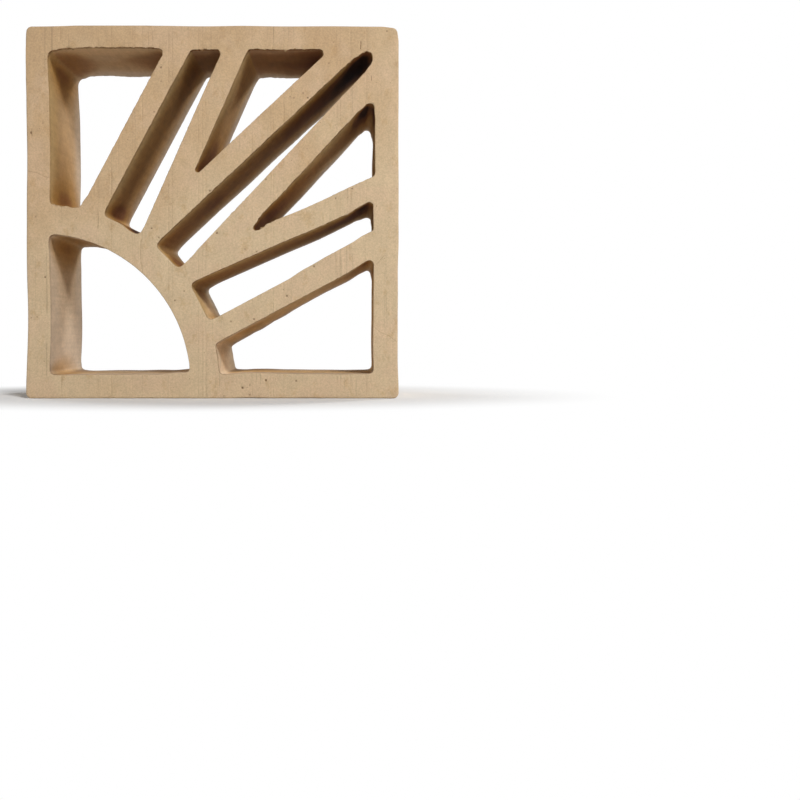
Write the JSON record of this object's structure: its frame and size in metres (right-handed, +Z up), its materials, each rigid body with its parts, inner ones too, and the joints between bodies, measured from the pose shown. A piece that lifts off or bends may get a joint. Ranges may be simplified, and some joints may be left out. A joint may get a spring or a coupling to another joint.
{
  "type": "breeze block",
  "caption": "Square fired clay screen block with a quarter-round opening in one corner, an arched web around it, and rays that fork out to the frame, open from front to back.",
  "frame": {"origin": "middle of the bottom face, on the plane that the block stands on", "axes": "+X to the right across the front, +Y into the wall, away from the front face, +Z up"},
  "size_m": [0.2, 0.065, 0.2],
  "materials": {
    "fired_clay": "matt, unglazed, sandy buff"
  },
  "bodies": {
    "root": {"breeze_block": "fired_clay"}
  },
  "joints": []
}
